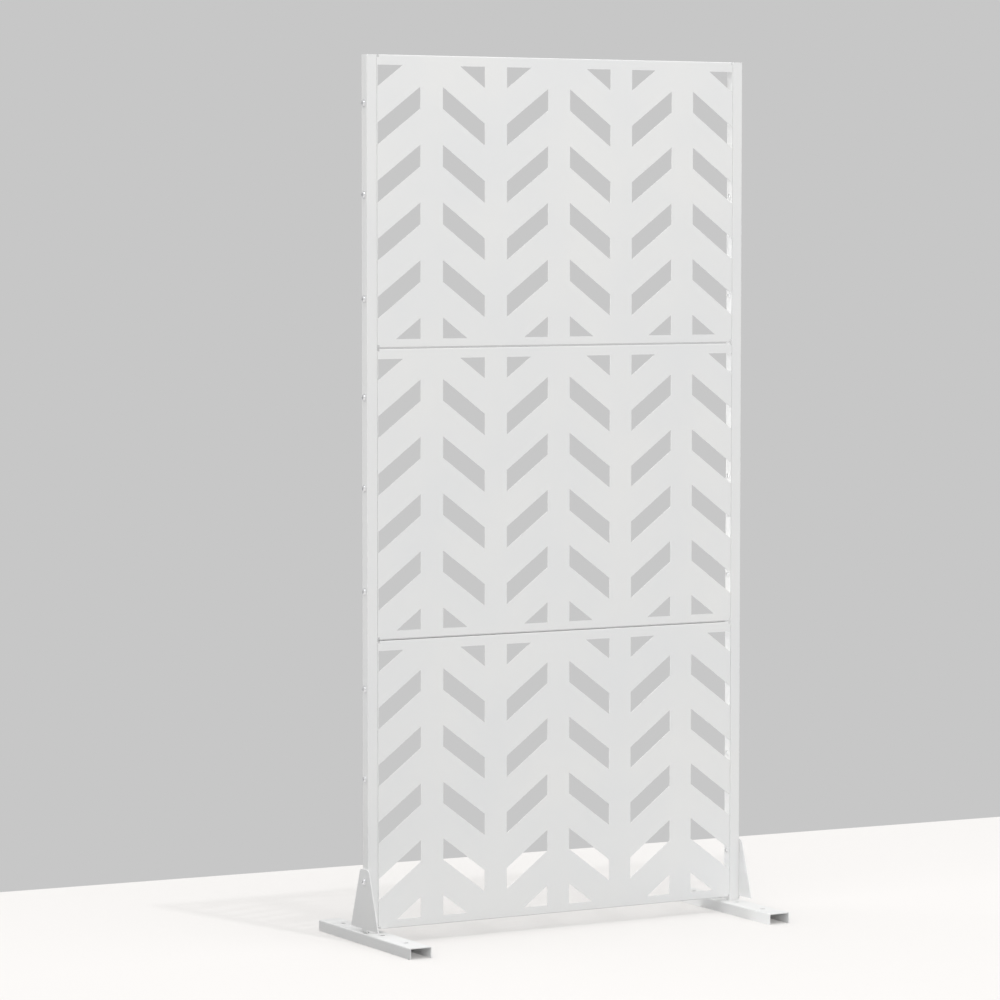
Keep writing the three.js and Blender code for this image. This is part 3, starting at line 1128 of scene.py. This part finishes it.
# ---------------------------------------------------------------------------------------------
# The whole screen
# ---------------------------------------------------------------------------------------------


@dataclass
class PrivacyScreen:
    """The screen: panels, and at each end a post, a foot, a bracket and their fasteners."""

    finishes: Finishes

    def build(self) -> None:
        """Builds and dresses every piece."""
        for level in ("bottom", "middle", "top"):
            node = f"panel_{level}"
            panel = PiercedPanel(node, nodes_with(f"rivet_nut_left_{level}"))
            self.finishes.dress(panel.build(), "powder_coat", node)
        for side in Side:
            self.build_sheets(side)
            self.build_fasteners(side)

    def build_sheets(self, side: Side) -> None:
        """Builds one end's post, foot and bracket.

        Args:
            side: the end.
        """
        label = side.label
        screws = nodes_with(f"side_screw_{label}") + [f"bracket_bolt_{label}"]
        self.finishes.dress(TubePost(side, screws).build(), "powder_coat", f"post_{label}")
        self.finishes.dress(ChannelFoot(side).build(), "powder_coat", f"foot_{label}")
        self.finishes.dress(AngleBracket(side).build(), "powder_coat", f"bracket_{label}")

    def build_fasteners(self, side: Side) -> None:
        """Builds one end's screws, bolts and nuts.

        Args:
            side: the end.
        """
        label = side.label
        for node in nodes_with(f"side_screw_{label}") + [f"bracket_bolt_{label}"]:
            self.finishes.dress(ButtonScrew(node, side, Axis.OUTWARD).build(), "zinc_steel", node)
        for node in nodes_with(f"rivet_nut_{label}"):
            self.finishes.dress(RivetNut(node, side).build(), "powder_coat", node)
        bolt, nut = f"tab_bolt_{label}", f"tab_nut_{label}"
        self.finishes.dress(ButtonScrew(bolt, side, Axis.DOWN).build(), "zinc_steel", bolt)
        self.finishes.dress(HexNut(nut, side).build(), "zinc_steel", nut)


# ---------------------------------------------------------------------------------------------
# Studio
# ---------------------------------------------------------------------------------------------


@dataclass(frozen=True)
class PaintedBouncePatch:
    """A rectangle of floor that sends back more or less light than the rest: painted shade or
    painted light.
    """

    across: tuple[float, float]
    along: tuple[float, float]
    grey: float


@dataclass
class Studio:
    """Plain floor, pale grey wall, soft light and the camera."""

    wall_grey: float = 0.571
    floor_colour: tuple[float, float, float, float] = (0.823, 0.806, 0.791, 1.0)
    floor_bounce: float = 0.4
    # Painted shade: grey 0 left of the left foot and under the panels between the feet. Painted
    # light: 0.8 beside the right foot's inner side, 0.95 inside both feet's channels.
    painted_bounce_patches: tuple[PaintedBouncePatch, ...] = (
        PaintedBouncePatch((-0.87, -0.467), (-0.35, 0.4), 0.0),
        PaintedBouncePatch((-0.415, 0.415), (-0.025, 0.07), 0.0),
        PaintedBouncePatch((0.15, 0.419), (0.07, 0.35), 0.8),
        PaintedBouncePatch((0.3, 0.419), (-0.3, -0.13), 0.8),
        PaintedBouncePatch((-0.463, -0.419), (-0.206, 0.206), 0.95),
        PaintedBouncePatch((0.419, 0.463), (-0.206, 0.206), 0.95))
    floor_plain: tuple[float, float, float, float] = (0.985, 0.97, 0.955, 1.0)
    floor_plain_share: float = 0.2
    wall_left: tuple[float, float] = (-0.8093, 1.0193)
    wall_right: tuple[float, float] = (1.7814, 0.8954)
    wall_height: float = 6.0
    wall_reach: float = 8.0
    floor_reach: float = 30.0
    world_level: float = 0.80
    world_above: float = 0.42
    world_tilt: tuple[float, float] = (-0.24, -0.32)
    zenith_grey: float = 1.0
    zenith_heights: tuple[float, float] = (0.15, 0.6)
    lamp_place: tuple[float, float, float] = (-0.197, -1.005, 4.658)
    lamp_target: tuple[float, float, float] = (0.0, 0.0, 0.9)
    lamp_power: float = 27.6
    lamp_size: float = 0.08
    fill_place: tuple[float, float, float] = (-0.4, 0.7, 0.95)
    fill_target: tuple[float, float, float] = (0.44, 0.0, 0.95)
    fill_power: float = 1.0
    fill_size: tuple[float, float] = (0.25, 1.7)
    fill_spread: float = math.radians(60)
    camera_place: tuple[float, float, float] = (-4.5068, -7.7239, 1.5131)
    camera_yaw: float = math.radians(29.496)
    camera_pitch: float = math.radians(3.78)
    camera_roll: float = math.radians(0.02)
    focal_pixels: float = 4184.3
    image_pixels: float = 1000.0
    sensor: float = 36.0
    sight: float = 200.0

    def build(self) -> None:
        """Sets the stage."""
        self.add_floor()
        self.add_wall()
        self.add_world()
        self.add_lamp()
        self.add_fill()
        self.add_camera()
        bpy.context.scene.view_settings.view_transform = "Standard"

    def plane(self, name: str, corners: np.ndarray) -> bpy.types.Object:
        """Adds a flat stage piece.

        Args:
            name: the piece's name.
            corners: its four corners (4, 3).

        Returns:
            The piece.
        """
        piece = mesh_object(name, np.asarray(corners, float), [[0, 1, 2, 3]])
        return piece

    def add_floor(self) -> None:
        """Pale floor: bright to the camera, and a quieter grey as a source of reflected light.

        What the camera sees is a mix of the shaded floor and its own plain colour, which softens
        the shadow.
        """
        reach = (-self.floor_reach, self.floor_reach)
        corners = rectangle(reach, reach)
        floor = self.plane("floor", np.column_stack([corners, np.zeros(len(corners))]))
        sheet = NodeSheet("floor")
        seen = sheet.seen_rays()
        colour = sheet.blended(seen, self.bounced_colour(sheet), self.floor_colour)
        shaded = sheet.node("ShaderNodeBsdfDiffuse", {"Color": colour})
        plain = sheet.node("ShaderNodeEmission", {"Color": self.floor_plain})
        share = sheet.scaled(seen, (0.0, 1.0), (0.0, self.floor_plain_share))
        mix = sheet.node(
            "ShaderNodeMixShader", {0: share, 1: shaded.outputs[0], 2: plain.outputs[0]})
        sheet.node("ShaderNodeOutputMaterial", {"Surface": mix.outputs[0]})
        floor.data.materials.append(sheet.material)

    def bounced_colour(self, sheet: NodeSheet) -> bpy.types.NodeSocket:
        """The floor's grey as a source of reflected light.

        Each patch brings its own grey where both of the place's level coordinates are within its
        ranges, and so paints shade or light onto the parts beside it.

        Args:
            sheet: the floor's material.

        Returns:
            The colour's socket.
        """
        grey = (self.floor_bounce,) * 3 + (1.0,)
        place = sheet.node("ShaderNodeSeparateXYZ", {0: sheet.place}).outputs
        # painted shade and painted light: each patch swaps in its own bounced grey
        for patch in self.painted_bounce_patches:
            within = [
                sheet.node("ShaderNodeMath", {
                    0: place[axis], 1: (low + high) / 2, 2: (high - low) / 2}, operation="COMPARE")
                for axis, (low, high) in enumerate((patch.across, patch.along))]
            share = sheet.node(
                "ShaderNodeMath", {0: within[0].outputs[0], 1: within[1].outputs[0]},
                operation="MULTIPLY")
            grey = sheet.blended(share.outputs[0], grey, (patch.grey,) * 3 + (1.0,))
        return grey

    def add_wall(self) -> None:
        """Grey wall behind the screen, seen from its front only and left out of the light."""
        left, right = np.array(self.wall_left), np.array(self.wall_right)
        along = (right - left) / np.linalg.norm(right - left)
        ends = np.array([left - self.wall_reach * along, right + self.wall_reach * along])
        foot = np.column_stack([ends, np.zeros(2)])
        head = np.column_stack([ends, np.full(2, self.wall_height)])
        wall = self.plane("wall", np.vstack([foot, head[::-1]]))
        sheet = NodeSheet("wall")
        grey = (self.wall_grey,) * 3 + (1.0,)
        front = sheet.node("ShaderNodeEmission", {"Color": grey, "Strength": 1.0})
        back = sheet.node("ShaderNodeBsdfTransparent")
        side = sheet.node("ShaderNodeNewGeometry").outputs["Backfacing"]
        mix = sheet.node("ShaderNodeMixShader", {0: side, 1: front.outputs[0], 2: back.outputs[0]})
        sheet.node("ShaderNodeOutputMaterial", {"Surface": mix.outputs[0]})
        wall.data.materials.append(sheet.material)
        wall.visible_diffuse = False
        wall.visible_shadow = False

    def add_world(self) -> None:
        """Soft light from all round, brighter from above, from the front and from the left.

        level = base + above * z + tilt_x * x + tilt_y * y, where (x, y, z) is the direction. What
        the camera and bright metal see past the floor is the wall's grey, which turns white
        overhead.
        """
        world = bpy.data.worlds.new("studio")
        bpy.context.scene.world = world
        world.use_nodes = True
        sheet = NodeSheet("studio", world.node_tree)
        lean = sheet.node("ShaderNodeVectorMath", {
            0: sheet.place, 1: (*self.world_tilt, self.world_above)}, operation="DOT_PRODUCT")
        level = sheet.node(
            "ShaderNodeMath", {0: lean.outputs["Value"], 1: self.world_level}, operation="ADD")
        white = (1.0, 1.0, 1.0, 1.0)
        light = sheet.node("ShaderNodeBackground", {"Color": white, "Strength": level.outputs[0]})
        height = sheet.node("ShaderNodeSeparateXYZ", {0: sheet.place}).outputs[2]
        grey = sheet.scaled(height, self.zenith_heights, (self.wall_grey, self.zenith_grey))
        seen = sheet.node("ShaderNodeBackground", {"Color": white, "Strength": grey})
        mix = sheet.node(
            "ShaderNodeMixShader", {0: sheet.seen_rays(), 1: light.outputs[0], 2: seen.outputs[0]})
        sheet.node("ShaderNodeOutputWorld", {"Surface": mix.outputs[0]})

    def add_lamp(self) -> None:
        """One small round lamp, high in front of the screen, which gives the soft-edged shadow."""
        light = self.area_light("lamp", self.lamp_power, self.lamp_place, self.lamp_target).data
        light.shape = "DISK"
        light.size = self.lamp_size

    def add_fill(self) -> None:
        """One tall soft lamp behind the screen, aimed at the right post's inner side."""
        lamp = self.area_light("fill", self.fill_power, self.fill_place, self.fill_target)
        lamp.visible_camera = False
        lamp.data.shape = "RECTANGLE"
        lamp.data.size, lamp.data.size_y = self.fill_size
        lamp.data.spread = self.fill_spread

    def area_light(
        self, name: str, power: float, place: tuple[float, ...], target: tuple[float, ...]
    ) -> bpy.types.Object:
        """A flat lamp that looks at a point.

        Args:
            name: the lamp's name.
            power: in watts.
            place: where it hangs.
            target: the point.

        Returns:
            The lamp's object, in the scene.
        """
        light = bpy.data.lights.new(name, "AREA")
        light.energy = power
        lamp = bpy.data.objects.new(name, light)
        lamp.matrix_world = facing(np.array(target) - np.array(place), 0.0, np.array(place))
        bpy.context.scene.collection.objects.link(lamp)
        return lamp

    def add_camera(self) -> None:
        """The camera of the photograph: its place, the way that it looks and its angle of view."""
        yaw, pitch = self.camera_yaw, self.camera_pitch
        ahead = np.array([
            math.sin(yaw) * math.cos(pitch), math.cos(yaw) * math.cos(pitch), -math.sin(pitch)])
        data = bpy.data.cameras.new("camera")
        data.sensor_width = self.sensor
        data.lens = self.focal_pixels / self.image_pixels * self.sensor
        data.clip_end = self.sight
        camera = bpy.data.objects.new("camera", data)
        camera.matrix_world = facing(ahead, self.camera_roll, np.array(self.camera_place))
        bpy.context.scene.collection.objects.link(camera)
        bpy.context.scene.camera = camera


def facing(ahead: np.ndarray, roll: float, place: np.ndarray) -> Matrix:
    """The matrix of a lamp or camera that looks one way.

    Its own -Z points ahead and its own X is level, before the roll about the view's line.

    Args:
        ahead: the direction of view.
        roll: turn about it, in radians.
        place: where it stands.

    Returns:
        The matrix.
    """
    ahead = ahead / np.linalg.norm(ahead)
    right = np.cross(ahead, (0.0, 0.0, 1.0))
    right = right / np.linalg.norm(right)
    up = np.cross(right, ahead)
    rolled_right = right * math.cos(roll) + up * math.sin(roll)
    rolled_up = up * math.cos(roll) - right * math.sin(roll)
    columns = np.eye(4)
    columns[:3, 0], columns[:3, 1], columns[:3, 2] = rolled_right, rolled_up, -ahead
    columns[:3, 3] = place
    return Matrix(columns.tolist())


def main() -> None:
    """Builds the screen and its studio."""
    logging.basicConfig(level=logging.INFO, format="%(name)s: %(message)s")
    finishes = Finishes()
    finishes.build()
    PrivacyScreen(finishes).build()
    Studio().build()


if __name__ == "__main__":
    main()
